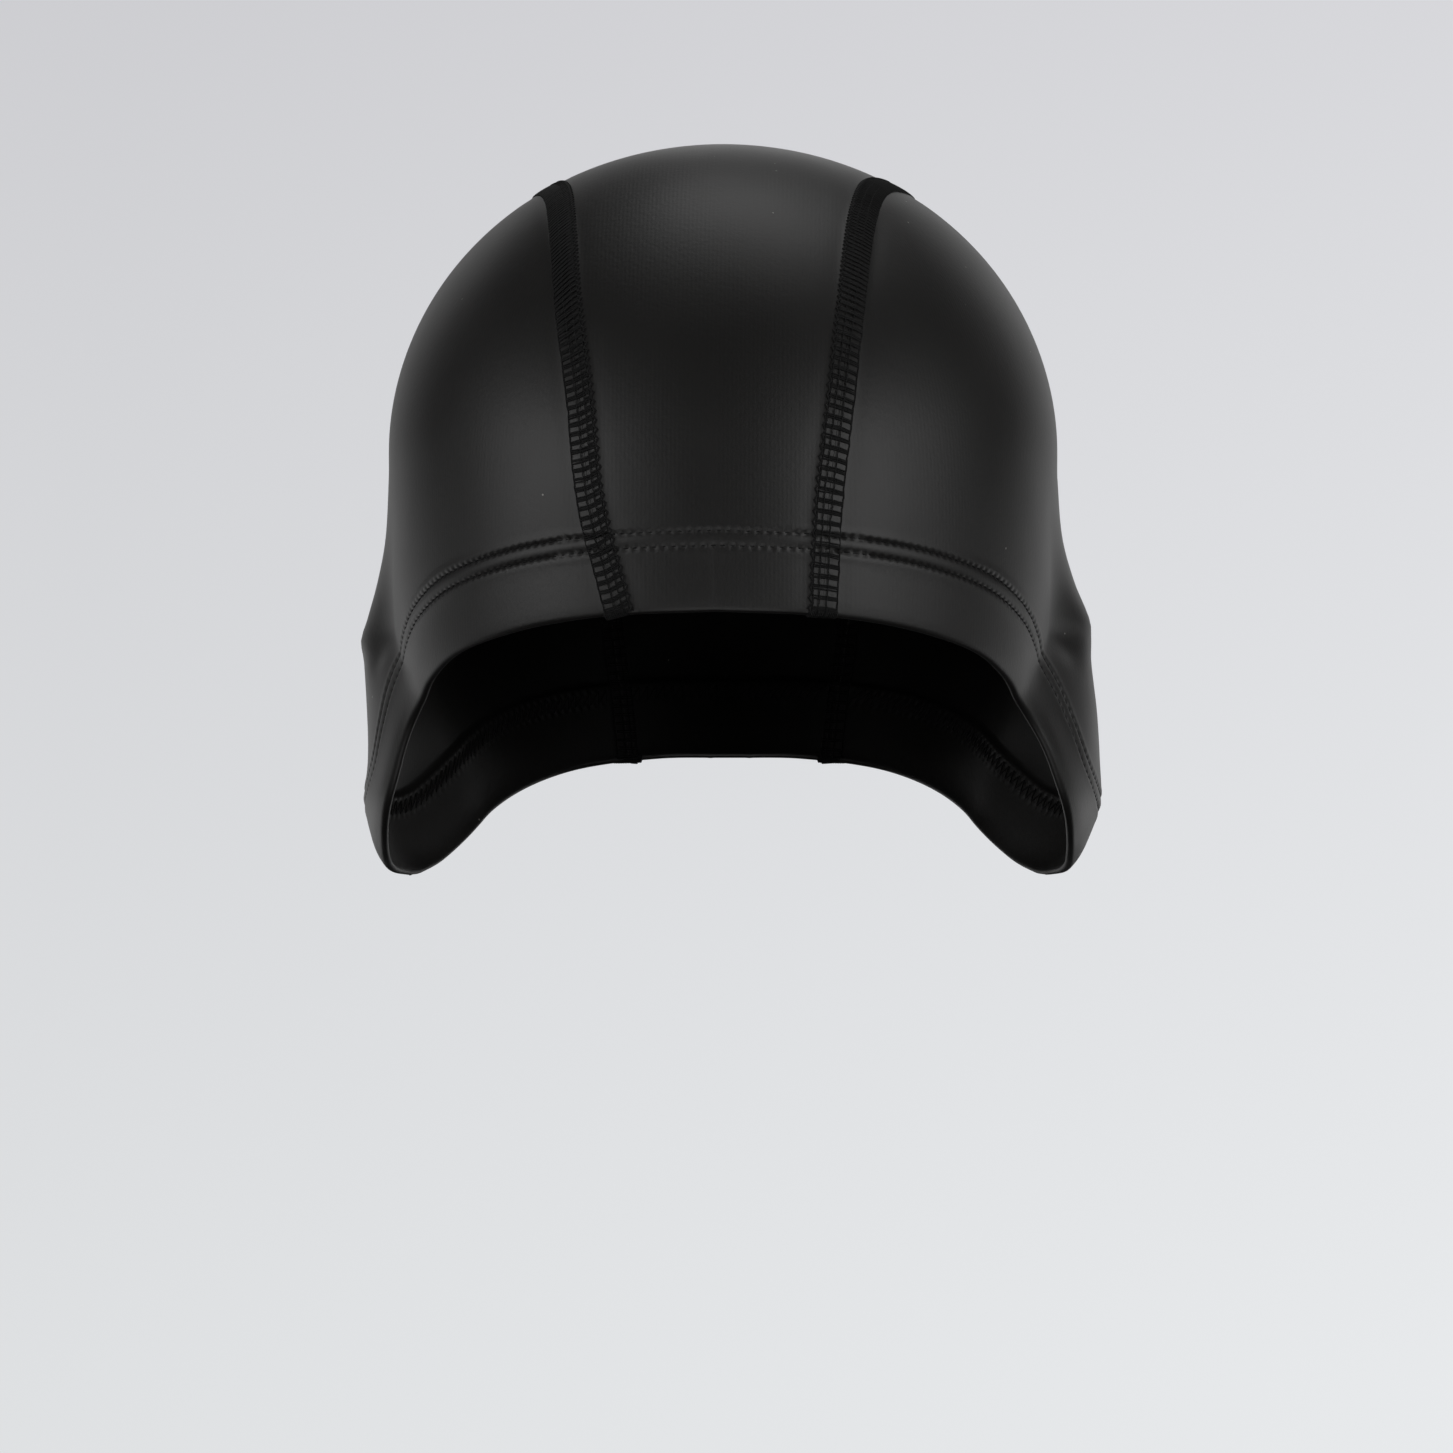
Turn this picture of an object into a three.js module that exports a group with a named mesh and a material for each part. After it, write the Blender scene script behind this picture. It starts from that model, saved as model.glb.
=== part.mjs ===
// Swim cap of three sewn panels, in the form it has when worn: a centre panel from the
// forehead to the nape, a side panel over each ear, and a flatlock seam along each join.
// Millimetres. +Z is up, the forehead faces -Y, and the origin is the inside of the crown's
// top, where the crown of a head touches.
import * as THREE from 'three';
import * as BufferGeometryUtils from 'three/addons/utils/BufferGeometryUtils.js';

// Outer form: the breadth above the ears, the reach from the ear line forwards and backwards,
// the height, how far below the top each dome comes to its full reach, and the ears' swell
const crownBreadth = 149.6;
const frontReach = 102;
const backReach = 94;
const capHeight = 164.5;
const sideDome = 69.5;
const frontDome = 88;
const backDome = 84;
const leftEarSwell = 12.3;
const rightEarSwell = 16.2;

// Rim, as heights below the outside of the crown's top
const foreheadEdge = 106;
const napeEdge = 138;

// Cloth, and the hem with the two stitch rows that hold it, counted from its folded edge
const cloth = 1.0;
const hemCloth = 1.9;
const hemDepth = 18.4;
const firstRow = 14.2;
const rowGauge = 3.2;
const stitchSink = 0.35;
const stitchReach = 1.2;
const edgeRound = 0.9;
const edgeTuck = 0.57;

// The centre panel's full breadth, and the seams beside it: threads over, under and through
// the butted edges
const centrePanel = 80.6;
const seamBreadth = 6.5;
const outerThreads = 0.5;
const innerThreads = 0.4;
const needleThreads = 0.4;
const seamOverhang = 0.8;
const clearance = 0.3;

// Fineness of the solids
const seamSteps = 30;
const sideSteps = 11;
const centreColumns = 8;
const rimSamples = 180;
const mostTries = 60;
const closeEnough = 1e-9;

// Sections from the crown down: depth as a share of the cap's height, the half breadth and
// the front and back reach as shares of the full ones, and how square the section is.
const sections = [
  { depth: 0.00, side: 1.000, front: 1.000, back: 1.00, square: 2.00 },
  { depth: 0.24, side: 1.000, front: 1.000, back: 1.00, square: 2.12 },
  { depth: 0.46, side: 1.000, front: 1.000, back: 1.00, square: 2.22 },
  { depth: 0.67, side: 0.985, front: 0.995, back: 0.96, square: 2.25 },
  { depth: 0.84, side: 0.935, front: 0.965, back: 0.89, square: 2.30 },
  { depth: 1.00, side: 0.885, front: 0.920, back: 0.80, square: 2.35 },
];

// Swell over the ears: depth as a share of the cap's height, how far the left and right side
// stand out as shares of their swells, the middle as a share of the front reach behind the
// ear line, and how far the swell runs forwards and backwards as shares of those reaches.
const ears = [
  { depth: 0.450, left: 0.00, right: 0.00, middle: 0.02, fore: 0.33, aft: 0.36 },
  { depth: 0.535, left: 0.10, right: 0.09, middle: 0.03, fore: 0.31, aft: 0.36 },
  { depth: 0.596, left: 0.29, right: 0.28, middle: 0.04, fore: 0.29, aft: 0.35 },
  { depth: 0.648, left: 0.52, right: 0.52, middle: 0.04, fore: 0.28, aft: 0.34 },
  { depth: 0.675, left: 0.66, right: 0.56, middle: 0.05, fore: 0.31, aft: 0.35 },
  { depth: 0.705, left: 0.64, right: 0.59, middle: 0.05, fore: 0.42, aft: 0.36 },
  { depth: 0.778, left: 0.72, right: 0.78, middle: 0.07, fore: 0.62, aft: 0.38 },
  { depth: 0.839, left: 0.83, right: 0.91, middle: 0.09, fore: 0.84, aft: 0.40 },
  { depth: 0.897, left: 1.00, right: 1.00, middle: 0.10, fore: 0.95, aft: 0.40 },
  { depth: 0.948, left: 0.95, right: 0.90, middle: 0.11, fore: 0.96, aft: 0.40 },
  { depth: 1.000, left: 0.76, right: 0.68, middle: 0.13, fore: 0.84, aft: 0.40 },
];

// The rim: degrees round from the forehead, and how far it has dropped from the forehead's
// edge, or past the lowest point from the nape's edge, towards the cap's full height.
const lowestTurn = 107;
const rimFront = [
  { turn: 0, drop: 0.000 },
  { turn: 12, drop: 0.013 },
  { turn: 22, drop: 0.046 },
  { turn: 31, drop: 0.094 },
  { turn: 39, drop: 0.146 },
  { turn: 45, drop: 0.202 },
  { turn: 52, drop: 0.282 },
  { turn: 60, drop: 0.420 },
  { turn: 67, drop: 0.685 },
  { turn: 74, drop: 0.835 },
  { turn: 82, drop: 0.920 },
  { turn: 90, drop: 0.958 },
  { turn: 99, drop: 0.988 },
  { turn: lowestTurn, drop: 1.000 },
];
const rimBack = [
  { turn: lowestTurn, drop: 1.00 },
  { turn: 111, drop: 0.98 },
  { turn: 118, drop: 0.87 },
  { turn: 134, drop: 0.45 },
  { turn: 152, drop: 0.13 },
  { turn: 168, drop: 0.01 },
  { turn: 180, drop: 0.00 },
];

// The seams: share of the way over the crown from the forehead's edge to the nape's, and
// the distance of each from the middle as a share of half the centre panel.
const seams = [
  { way: 0.000, left: 0.505, right: 0.568 },
  { way: 0.058, left: 0.658, right: 0.600 },
  { way: 0.113, left: 0.718, right: 0.660 },
  { way: 0.182, left: 0.797, right: 0.720 },
  { way: 0.264, left: 0.848, right: 0.774 },
  { way: 0.330, left: 0.888, right: 0.830 },
  { way: 0.370, left: 0.924, right: 0.882 },
  { way: 0.420, left: 0.976, right: 0.965 },
  { way: 0.500, left: 1.000, right: 1.000 },
  { way: 0.780, left: 0.843, right: 0.843 },
  { way: 1.000, left: 0.596, right: 0.596 },
];

// Across the hem from its folded edge: how far the outer face is sunk and the wall's depth.
const secondRow = firstRow + rowGauge;
const hem = [
  { from: 0, sunk: edgeTuck, wall: hemCloth - edgeTuck },
  { from: edgeRound, sunk: 0, wall: hemCloth },
  { from: firstRow - stitchReach, sunk: 0, wall: hemCloth },
  { from: firstRow, sunk: stitchSink, wall: hemCloth },
  { from: firstRow + rowGauge / 2, sunk: stitchSink / 4, wall: hemCloth },
  { from: secondRow, sunk: stitchSink, wall: hemCloth },
  { from: Math.max(hemDepth, secondRow) + stitchReach / 2, sunk: 0, wall: cloth },
];
const hemEnd = hem[hem.length - 1].from;

const panelGap = needleThreads + 2 * clearance;
const bandCover = seamBreadth / 2 + clearance;
const hubHeight = cloth - sections[2].depth * capHeight;

// Small vector and table helpers
const add = (a, b, k = 1) => [a[0] + b[0] * k, a[1] + b[1] * k, a[2] + b[2] * k];
const dot = (a, b) => a[0] * b[0] + a[1] * b[1] + a[2] * b[2];
const cross = (a, b) => [
  a[1] * b[2] - a[2] * b[1], a[2] * b[0] - a[0] * b[2], a[0] * b[1] - a[1] * b[0],
];
const distance = (a, b) => Math.hypot(a[0] - b[0], a[1] - b[1], a[2] - b[2]);
const unit = (a) => add([0, 0, 0], a, 1 / Math.hypot(...a));
const mix = (a, b, t) => a + (b - a) * t;
const clamp = (x, lo, hi) => Math.min(Math.max(x, lo), hi);

function rowBelow(table, key, x) {
  let i = 0;
  while (i < table.length - 2 && x > table[i + 1][key]) i += 1;
  return i;
}

// Smooth curve through a column of a table, level beyond its ends
function smooth(table, key, column, at) {
  const x = clamp(at, table[0][key], table[table.length - 1][key]);
  const i = rowBelow(table, key, x);
  const slope = (k) => {
    const before = table[Math.max(k - 1, 0)];
    const after = table[Math.min(k + 1, table.length - 1)];
    return (after[column] - before[column]) / (after[key] - before[key]);
  };
  const step = table[i + 1][key] - table[i][key];
  const t = (x - table[i][key]) / step;
  const rise = t * t * (3 - 2 * t);
  return mix(table[i][column], table[i + 1][column], rise)
    + step * t * (1 - t) * ((1 - t) * slope(i) - t * slope(i + 1));
}

function straight(table, key, column, at) {
  const x = clamp(at, table[0][key], table[table.length - 1][key]);
  const i = rowBelow(table, key, x);
  const t = (x - table[i][key]) / (table[i + 1][key] - table[i][key]);
  return mix(table[i][column], table[i + 1][column], t);
}

// Where f, which rises through nought between lo and hi, is nought: the chord's crossing
// and the middle of what is left are tried in turn
function crossing(f, lo, hi) {
  let [a, b, fa, fb] = [lo, hi, f(lo), f(hi)];
  for (let k = 0; k < mostTries; k += 1) {
    const x = k % 2 === 0 && fb > fa ? clamp(a - fa * (b - a) / (fb - fa), a, b) : (a + b) / 2;
    const fx = f(x);
    if (Math.abs(fx) < closeEnough) return x;
    if (fx > 0) [b, fb] = [x, fx];
    else [a, fa] = [x, fx];
  }
  return (a + b) / 2;
}

// Share of the full reach that the dome has at a depth, for a dome of that height
function dome(depth, height, power) {
  const left = 1 - clamp(depth, 0, height) / height;
  return (1 - left ** power) ** (1 / power);
}

const sideRound = 2.03;
const frontRound = 2.15;
const backRound = 2.2;
const sideBlend = 40;

function earSwell(x, y, share) {
  if (share < ears[0].depth) return 0;
  const right = clamp(x / sideBlend + 0.5, 0, 1);
  const swell = mix(
    leftEarSwell * smooth(ears, 'depth', 'left', share),
    rightEarSwell * smooth(ears, 'depth', 'right', share),
    right,
  );
  const along = y - frontReach * smooth(ears, 'depth', 'middle', share);
  const reach = along < 0
    ? frontReach * smooth(ears, 'depth', 'fore', share)
    : backReach * smooth(ears, 'depth', 'aft', share);
  const fade = clamp(1 - (along / reach) ** 2, 0, 1);
  return swell * fade * fade;
}

// Above nought outside the cap's outer face, below nought inside
function outside([x, y, z]) {
  const depth = cloth - z;
  if (depth <= 0) return 1 - depth;
  const share = depth / capHeight;
  const side = crownBreadth / 2 * dome(depth, sideDome, sideRound)
    * smooth(sections, 'depth', 'side', share) + earSwell(x, y, share);
  const along = y < 0
    ? frontReach * dome(depth, frontDome, frontRound) * smooth(sections, 'depth', 'front', share)
    : backReach * dome(depth, backDome, backRound) * smooth(sections, 'depth', 'back', share);
  const power = smooth(sections, 'depth', 'square', share);
  return (Math.abs(x) / side) ** power + (Math.abs(y) / along) ** power - 1;
}

const farthest = 2 * (crownBreadth + capHeight);
function cast(from, way) {
  const far = crossing((s) => outside(add(from, way, s)), 0, farthest);
  return add(from, way, far);
}

const hub = [0, 0, hubHeight];
const ontoFace = (p) => cast(hub, unit(add(p, hub, -1)));

function normalAt(p) {
  const h = 0.02;
  return unit([0, 1, 2].map((i) => {
    const step = [0, 0, 0];
    step[i] = h;
    return outside(add(p, step)) - outside(add(p, step, -1));
  }));
}

// The rim's depth and place at a turn from the forehead, in degrees, negative to the left
function rimDepth(turn) {
  const t = Math.abs(turn);
  return t < lowestTurn
    ? mix(foreheadEdge, capHeight, smooth(rimFront, 'turn', 'drop', t))
    : mix(napeEdge, capHeight, smooth(rimBack, 'turn', 'drop', t));
}

function rimPoint(turn) {
  const a = THREE.MathUtils.degToRad(turn);
  return cast([0, 0, cloth - rimDepth(turn)], [Math.sin(a), -Math.cos(a), 0]);
}

const turnOf = (p) => THREE.MathUtils.radToDeg(Math.atan2(p[0], -p[1]));
const rimLine = Array.from({ length: rimSamples }, (_, i) => rimPoint(i * 360 / rimSamples - 180));

function fromRim([x, y, z]) {
  let nearest = Infinity;
  let [ax, ay, az] = rimLine[rimLine.length - 1];
  for (const [bx, by, bz] of rimLine) {
    const [ex, ey, ez] = [bx - ax, by - ay, bz - az];
    const along = ((x - ax) * ex + (y - ay) * ey + (z - az) * ez) / (ex * ex + ey * ey + ez * ez);
    const t = clamp(along, 0, 1);
    nearest = Math.min(nearest, Math.hypot(x - ax - t * ex, y - ay - t * ey, z - az - t * ez));
    [ax, ay, az] = [bx, by, bz];
  }
  return nearest;
}

// A point of the outer face in the upright plane at x, at a share of the way over the crown
function overCrown(x, way) {
  const at = (angle) => cast([x, 0, hubHeight], [0, -Math.cos(angle), Math.sin(angle)]);
  const past = (angle) => {
    const p = at(angle);
    return cloth - p[2] - rimDepth(turnOf(p));
  };
  const front = -crossing((a) => past(-a), 0, Math.PI / 3);
  const back = crossing(past, Math.PI, Math.PI * 4 / 3);
  return at(mix(front, back, way));
}

const seamPoint = (side, way) => {
  const share = smooth(seams, 'way', side < 0 ? 'left' : 'right', clamp(way, 0, 1));
  return overCrown(side * centrePanel / 2 * share, way);
};

// The seam's point with the face's normal and the way across the seam, out to its own side
function seamFrame(side, way) {
  const step = 0.002;
  const p = seamPoint(side, way);
  const along = add(seamPoint(side, way + step), seamPoint(side, way - step), -1);
  const normal = normalAt(p);
  const across = unit(cross(normal, along));
  return { p, across: across[0] * side < 0 ? add([0, 0, 0], across, -1) : across };
}

const beside = ({ p, across }, off) => ontoFace(add(p, across, off));

// Shares of the way at which all pieces have a station: close together over each hem, and
// evenly spaced along the seam between
const widestWay = 0.5;
function stationsAlong(side) {
  const reach = (start, turn) => hem.map(({ from }) => (from === 0 ? start : crossing(
    (w) => fromRim(seamPoint(side, start + turn * w)) - from, 0, widestWay) * turn + start));
  const front = reach(0, 1);
  const back = reach(1, -1);
  const between = Array.from({ length: seamSteps - 1 }, (_, i) => (
    mix(front[front.length - 1], back[back.length - 1], (i + 1) / seamSteps)));
  return [...front, ...between, ...back.reverse()];
}

const sides = [-1, 1].map((side) => ({
  side,
  stations: stationsAlong(side).map((way) => ({ way, ...seamFrame(side, way) })),
}));

// Closed body between an outer face and the same face moved in by the wall, from rows of
// points on the outer face
function panelGeometry(rows) {
  const faces = rows.map((row) => row.map((p) => {
    const normal = normalAt(p);
    const from = fromRim(p);
    return {
      outer: add(p, normal, -straight(hem, 'from', 'sunk', from)),
      inner: add(p, normal, -straight(hem, 'from', 'wall', from)),
    };
  }));
  const corners = [];
  const quad = (a, b, c, d) => corners.push(a, b, c, a, c, d);
  for (let i = 0; i < faces.length - 1; i += 1) {
    for (let j = 0; j < faces[i].length - 1; j += 1) {
      const [a, b, c, d] = [faces[i][j], faces[i][j + 1], faces[i + 1][j + 1], faces[i + 1][j]];
      quad(a.outer, b.outer, c.outer, d.outer);
      quad(a.inner, d.inner, c.inner, b.inner);
    }
  }
  const last = faces.length - 1;
  for (let j = 0; j < faces[0].length - 1; j += 1) {
    quad(faces[0][j].outer, faces[0][j].inner, faces[0][j + 1].inner, faces[0][j + 1].outer);
    quad(faces[last][j].outer, faces[last][j + 1].outer, faces[last][j + 1].inner, faces[last][j].inner);
  }
  for (let i = 0; i < last; i += 1) {
    const end = faces[i].length - 1;
    quad(faces[i][0].outer, faces[i + 1][0].outer, faces[i + 1][0].inner, faces[i][0].inner);
    quad(faces[i][end].outer, faces[i][end].inner, faces[i + 1][end].inner, faces[i + 1][end].outer);
  }
  return closed(corners);
}

// Merged, outward-facing geometry from a list of triangle corners
function closed(corners) {
  const raw = new THREE.BufferGeometry();
  raw.setAttribute('position', new THREE.Float32BufferAttribute(corners.flat(), 3));
  const merged = BufferGeometryUtils.mergeVertices(raw, 1e-3);
  const place = merged.getAttribute('position');
  const index = merged.getIndex().array;
  const at = (i) => [place.getX(i), place.getY(i), place.getZ(i)];
  const kept = [];
  let volume = 0;
  for (let k = 0; k < index.length; k += 3) {
    const [a, b, c] = [index[k], index[k + 1], index[k + 2]];
    if (a === b || b === c || c === a) continue;
    kept.push([a, b, c]);
    volume += dot(at(a), cross(at(b), at(c)));
  }
  const turned = volume < 0 ? kept.map(([a, b, c]) => [a, c, b]) : kept;
  merged.setIndex(turned.flat());
  merged.computeVertexNormals();
  return merged;
}

// Centre panel: a row at each station, from the left seam's edge across to the right one's
function centreGeometry() {
  const [left, right] = sides.map(({ stations }) => stations);
  const rows = left.map((start, i) => {
    const end = right[i];
    const inner = [beside(start, -bandCover), beside(end, -bandCover)];
    const between = Array.from({ length: centreColumns - 1 }, (_, j) => {
      const t = (j + 1) / centreColumns;
      return overCrown(mix(inner[0][0], inner[1][0], t), mix(start.way, end.way, t));
    });
    return [beside(start, -panelGap / 2), inner[0], ...between, inner[1], beside(end, -panelGap / 2)];
  });
  return panelGeometry(rows);
}

// Side panel: a column at each station, from the rim up to the seam's edge
function sideGeometry({ side, stations }) {
  const starts = [stations[0], stations[stations.length - 1]].map((s) => beside(s, panelGap / 2));
  const turns = starts.map(turnOf);
  const run = [0];
  stations.forEach((s, i) => {
    if (i > 0) run.push(run[i - 1] + distance(s.p, stations[i - 1].p));
  });
  const columns = stations.map((station, i) => {
    const top = beside(station, panelGap / 2);
    const foot = rimPoint(mix(turns[0], turns[1], run[i] / run[run.length - 1]));
    if (i === 0 || i === stations.length - 1) return [top];
    const cover = beside(station, bandCover);
    const up = (v) => ontoFace(add(foot, add(cover, foot, -1), v));
    const shrink = Math.min(1, fromRim(cover) / (hemEnd + edgeRound));
    const stops = hem.slice(1).map(({ from }) => crossing((v) => fromRim(up(v)) - from * shrink, 0, 1));
    const open = stops[stops.length - 1];
    const between = Array.from({ length: sideSteps - 1 }, (_, j) => {
      const t = (j + 1) / sideSteps;
      return mix(open, 1, t * (0.75 + 0.25 * t));
    });
    return [foot, ...[...stops, ...between].map(up), cover, top];
  });
  const count = columns[1].length;
  return panelGeometry(columns.map((c) => (c.length === 1 ? Array(count).fill(c[0]) : c)));
}

// Flatlock seam: a band of threads outside, a thinner one inside, and the needle threads
// that join them between the panels' butted edges
function seamGeometry({ side, stations }) {
  const half = seamBreadth / 2;
  const needle = needleThreads / 2;
  const section = (way, wall) => {
    const frame = seamFrame(side, way);
    const under = -wall - clearance;
    const profile = [
      [-needle, clearance], [-half, clearance], [-half + outerThreads, clearance + outerThreads],
      [0, clearance + outerThreads], [half - outerThreads, clearance + outerThreads],
      [half, clearance], [needle, clearance], [needle, under], [half, under],
      [half - innerThreads, under - innerThreads], [-half + innerThreads, under - innerThreads],
      [-half, under], [-needle, under],
    ];
    return profile.map(([off, rise]) => {
      const foot = beside(frame, off);
      return add(foot, normalAt(foot), rise);
    });
  };
  // The inner band clears the hem's turned-in layer, which its own breadth overlaps
  const wallAt = (p) => straight(hem, 'from', 'wall', Math.max(fromRim(p) - bandCover, edgeRound));
  const rings = stations.map(({ way, p }) => section(way, wallAt(p)));
  const overhang = [0, stations.length - 1].map((i) => {
    const inner = stations[i === 0 ? 1 : i - 1];
    const share = seamOverhang / distance(inner.p, stations[i].p);
    const wayOn = stations[i].way + (stations[i].way - inner.way) * share;
    return section(wayOn, wallAt(stations[i].p));
  });
  const all = [overhang[0], ...rings, overhang[1]];
  const corners = [];
  for (let i = 0; i < all.length - 1; i += 1) {
    const sectionSize = all[i].length;
    for (let j = 0; j < sectionSize; j += 1) {
      const k = (j + 1) % sectionSize;
      corners.push(all[i][j], all[i][k], all[i + 1][k], all[i][j], all[i + 1][k], all[i + 1][j]);
    }
  }
  // Caps: the outer band, the inner band and the web between them
  const capFaces = [
    [0, 1, 2], [0, 2, 3], [0, 3, 6], [3, 4, 6], [4, 5, 6],
    [7, 8, 9], [7, 9, 12], [9, 10, 12], [10, 11, 12], [0, 6, 7], [0, 7, 12],
  ];
  for (const [a, b, c] of capFaces) {
    const [first, end] = [all[0], all[all.length - 1]];
    corners.push(first[a], first[c], first[b], end[a], end[b], end[c]);
  }
  return closed(corners);
}

const coatedKnit = () => new THREE.MeshStandardMaterial({ color: '#1d1c1c', roughness: 0.5, metalness: 0 });
const seamThread = () => new THREE.MeshStandardMaterial({ color: '#121212', roughness: 0.85, metalness: 0 });

const cap = new THREE.Group();
function piece(name, geometry, material) {
  const mesh = new THREE.Mesh(geometry, material);
  mesh.name = name;
  cap.add(mesh);
}

piece('centre_panel', centreGeometry(), coatedKnit());
for (const half of sides) {
  const name = half.side < 0 ? 'left' : 'right';
  piece(`${name}_side_panel`, sideGeometry(half), coatedKnit());
  piece(`${name}_flatlock_seam`, seamGeometry(half), seamThread());
}

export default cap;
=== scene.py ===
import math

import bmesh
import bpy
import numpy as np
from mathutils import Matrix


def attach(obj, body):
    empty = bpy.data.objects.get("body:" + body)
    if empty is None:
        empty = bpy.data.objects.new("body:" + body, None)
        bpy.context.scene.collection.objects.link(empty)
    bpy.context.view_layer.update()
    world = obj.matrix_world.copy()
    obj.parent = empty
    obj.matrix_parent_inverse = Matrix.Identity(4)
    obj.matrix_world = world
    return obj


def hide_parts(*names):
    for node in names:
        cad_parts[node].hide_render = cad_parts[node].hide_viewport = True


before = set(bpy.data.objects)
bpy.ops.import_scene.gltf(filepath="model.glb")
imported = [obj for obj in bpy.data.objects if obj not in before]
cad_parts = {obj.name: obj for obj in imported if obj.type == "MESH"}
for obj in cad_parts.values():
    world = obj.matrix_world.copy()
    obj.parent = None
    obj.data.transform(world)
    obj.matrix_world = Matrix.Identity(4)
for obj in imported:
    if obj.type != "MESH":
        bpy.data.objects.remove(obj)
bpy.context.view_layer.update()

# Cloth: a four-way stretch knit with a thin polyurethane coat, cut in three panels. It has
# this form only while it is worn, so all three panels are laid on one worn form.
# Millimetres: Z is up, the forehead faces -Y, and the inside of the crown's top is at nought.
CROWN_BREADTH, CAP_HEIGHT = 149.6, 164.5
FRONT_REACH, BACK_REACH = 102, 94
SIDE_DOME, FRONT_DOME, BACK_DOME = 69.5, 88, 84
SIDE_ROUND, FRONT_ROUND, BACK_ROUND = 2.03, 2.15, 2.2
LEFT_EAR_SWELL, RIGHT_EAR_SWELL, SIDE_BLEND = 12.3, 16.2, 40
FOREHEAD_EDGE, NAPE_EDGE, LOWEST_TURN = 106, 138, 107
CLOTH = 1.0
MM = 0.001

# Share of the height below the top; shares of half the breadth, front and back; squareness
SECTIONS = np.array([
    (0.00, 1.000, 1.000, 1.00, 2.00),
    (0.24, 1.000, 1.000, 1.00, 2.12),
    (0.46, 1.000, 1.000, 1.00, 2.22),
    (0.67, 0.985, 0.995, 0.96, 2.25),
    (0.84, 0.935, 0.965, 0.89, 2.30),
    (1.00, 0.885, 0.920, 0.80, 2.35),
])

# Share of the height; left and right shares of the swell over the ear; its middle, and how
# far it runs to the front and back, as shares of the front and back reach
EARS = np.array([
    (0.450, 0.00, 0.00, 0.02, 0.33, 0.36),
    (0.535, 0.10, 0.09, 0.03, 0.31, 0.36),
    (0.596, 0.29, 0.28, 0.04, 0.29, 0.35),
    (0.648, 0.52, 0.52, 0.04, 0.28, 0.34),
    (0.675, 0.66, 0.56, 0.05, 0.31, 0.35),
    (0.705, 0.64, 0.59, 0.05, 0.42, 0.36),
    (0.778, 0.72, 0.78, 0.07, 0.62, 0.38),
    (0.839, 0.83, 0.91, 0.09, 0.84, 0.40),
    (0.897, 1.00, 1.00, 0.10, 0.95, 0.40),
    (0.948, 0.95, 0.90, 0.11, 0.96, 0.40),
    (1.000, 0.76, 0.68, 0.13, 0.84, 0.40),
])

# Degrees round from the forehead, and the rim's drop from its upper edge to its lowest point
RIM_FRONT = np.array([
    (0, 0.0), (12, 0.013), (22, 0.046), (31, 0.094), (39, 0.146), (45, 0.202), (52, 0.282),
    (60, 0.42), (67, 0.685), (74, 0.835), (82, 0.92), (90, 0.958), (99, 0.988),
    (LOWEST_TURN, 1.0),
])
RIM_BACK = np.array([
    (LOWEST_TURN, 1.0), (111, 0.98), (118, 0.87), (134, 0.45), (152, 0.13), (168, 0.01),
    (180, 0.0),
])


def smooth(table, column, at):
    """Smooth curve through a column of a table against its first column, level past its ends."""
    keys, values = table[:, 0], table[:, column]
    slopes = np.gradient(values)
    slopes[1:-1] = (values[2:] - values[:-2]) / (keys[2:] - keys[:-2])
    slopes[0] = (values[1] - values[0]) / (keys[1] - keys[0])
    slopes[-1] = (values[-1] - values[-2]) / (keys[-1] - keys[-2])
    x = np.clip(at, keys[0], keys[-1])
    i = np.clip(np.searchsorted(keys, x, side="right") - 1, 0, len(keys) - 2)
    step = keys[i + 1] - keys[i]
    t = (x - keys[i]) / step
    rise = t * t * (3 - 2 * t)
    bend = step * t * (1 - t) * ((1 - t) * slopes[i] - t * slopes[i + 1])
    return values[i] + (values[i + 1] - values[i]) * rise + bend


def dome(depth, height, power):
    left = 1 - np.clip(depth, 0, height) / height
    return (1 - left ** power) ** (1 / power)


def ear_swell(x, y, share):
    right = np.clip(x / SIDE_BLEND + 0.5, 0, 1)
    left_swell = LEFT_EAR_SWELL * smooth(EARS, 1, share)
    right_swell = RIGHT_EAR_SWELL * smooth(EARS, 2, share)
    along = y - FRONT_REACH * smooth(EARS, 3, share)
    fore = FRONT_REACH * smooth(EARS, 4, share)
    aft = BACK_REACH * smooth(EARS, 5, share)
    fade = np.clip(1 - (along / np.where(along < 0, fore, aft)) ** 2, 0, 1)
    return (left_swell * (1 - right) + right_swell * right) * fade * fade


def outside(p):
    """Above nought outside the cloth's outer face, below nought inside."""
    x, y, z = p[..., 0], p[..., 1], p[..., 2]
    depth = np.maximum(CLOTH - z, 1e-6)
    share = depth / CAP_HEIGHT
    side = CROWN_BREADTH / 2 * dome(depth, SIDE_DOME, SIDE_ROUND) * smooth(SECTIONS, 1, share)
    side = side + ear_swell(x, y, share)
    front = FRONT_REACH * dome(depth, FRONT_DOME, FRONT_ROUND) * smooth(SECTIONS, 2, share)
    back = BACK_REACH * dome(depth, BACK_DOME, BACK_ROUND) * smooth(SECTIONS, 3, share)
    power = smooth(SECTIONS, 4, share)
    level = (np.abs(x) / side) ** power + (np.abs(y) / np.where(y < 0, front, back)) ** power - 1
    return np.where(z >= CLOTH, 1 + z - CLOTH, level)


HALVINGS = 30


def cast(start, way):
    """Where rays from inside the cap meet its outer face."""
    near = np.zeros(start.shape[:-1])
    far = near + 2 * CROWN_BREADTH
    for _ in range(HALVINGS):
        middle = (near + far) / 2
        out = outside(start + way * middle[..., None]) > 0
        far = np.where(out, middle, far)
        near = np.where(out, near, middle)
    return start + way * ((near + far) / 2)[..., None]


def unit(v):
    return v / np.linalg.norm(v, axis=-1, keepdims=True)


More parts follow.
